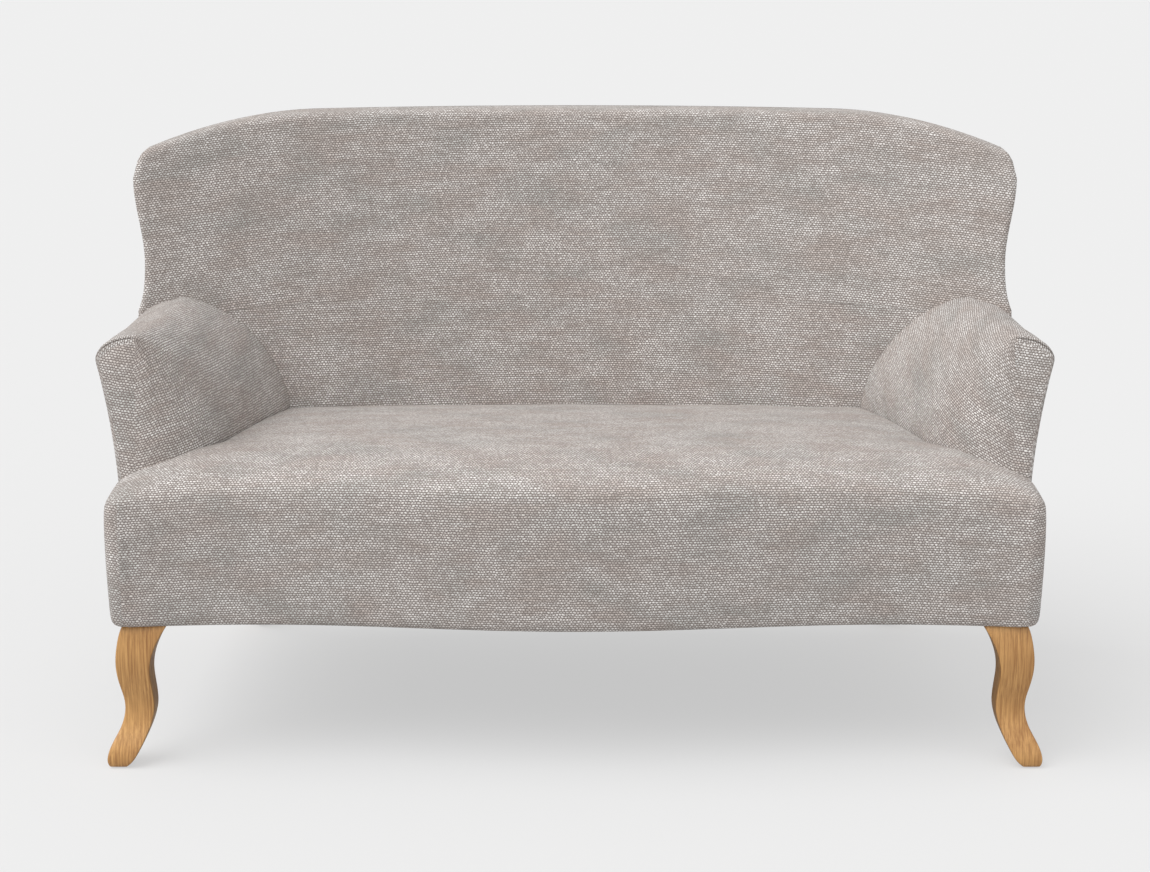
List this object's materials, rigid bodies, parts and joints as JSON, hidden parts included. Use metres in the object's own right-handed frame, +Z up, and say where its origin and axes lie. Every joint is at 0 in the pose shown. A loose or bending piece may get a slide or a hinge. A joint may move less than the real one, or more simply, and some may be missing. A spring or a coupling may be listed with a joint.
{
  "type": "high back settee",
  "caption": "Upholstered high back settee with a curved raked back, flared arms, a bowed sprung seat and shaped oak legs on foot glides.",
  "frame": {"origin": "on the floor, under the middle of the settee's overall box", "axes": "+Z up, -Y out of the front, +X to the right as seen from the front"},
  "size_m": [1.412, 0.77, 0.903],
  "materials": {
    "cover_fabric": "matt chunky basket weave",
    "foam": "open cell foam",
    "felt": "needled felt",
    "lining": "plain woven cotton",
    "webbing": "woven jute",
    "dust_cloth": "thin pressed cloth",
    "beech": "planed",
    "oak": "clear satin lacquer",
    "steel": "drawn wire",
    "nylon": "moulded"
  },
  "bodies": {
    "root": {"arm_cover_left": "cover_fabric", "arm_cover_right": "cover_fabric", "arm_foam_left": "foam", "arm_foam_right": "foam", "arm_lining_left": "lining", "arm_lining_right": "lining", "arm_lower_rail_left": "beech", "arm_lower_rail_right": "beech", "arm_post_left": "beech", "arm_post_right": "beech", "arm_top_rail_left": "beech", "arm_top_rail_right": "beech", "back_centre_stile": "beech", "back_foam": "foam", "back_lining": "lining", "back_lower_rail": "beech", "back_post_left": "beech", "back_post_right": "beech", "back_rail": "beech", "back_top_rail": "beech", "back_webbing": "webbing", "border_padding": "foam", "dust_cover": "dust_cloth", "front_foot_glide_left": "nylon", "front_foot_glide_right": "nylon", "front_leg_block_left": "beech", "front_leg_block_right": "beech", "front_leg_bolt_left": "steel", "front_leg_bolt_right": "steel", "front_leg_left": "oak", "front_leg_right": "oak", "front_rail": "beech", "inside_back_cover": "cover_fabric", "outside_arm_panel_left": "cover_fabric", "outside_arm_panel_right": "cover_fabric", "outside_back_cover": "cover_fabric", "rear_foot_glide_left": "nylon", "rear_foot_glide_right": "nylon", "rear_leg_block_left": "beech", "rear_leg_block_right": "beech", "rear_leg_bolt_left": "steel", "rear_leg_bolt_right": "steel", "rear_leg_left": "oak", "rear_leg_right": "oak", "seat_centre_rail": "beech", "seat_cover": "cover_fabric", "seat_foam": "foam", "seat_spring_1": "steel", "seat_spring_2": "steel", "seat_spring_3": "steel", "seat_spring_4": "steel", "seat_spring_5": "steel", "seat_spring_6": "steel", "side_rail_left": "beech", "side_rail_right": "beech", "spring_clip_strip_back": "steel", "spring_clip_strip_front": "steel", "spring_pad": "felt"}
  },
  "joints": []
}
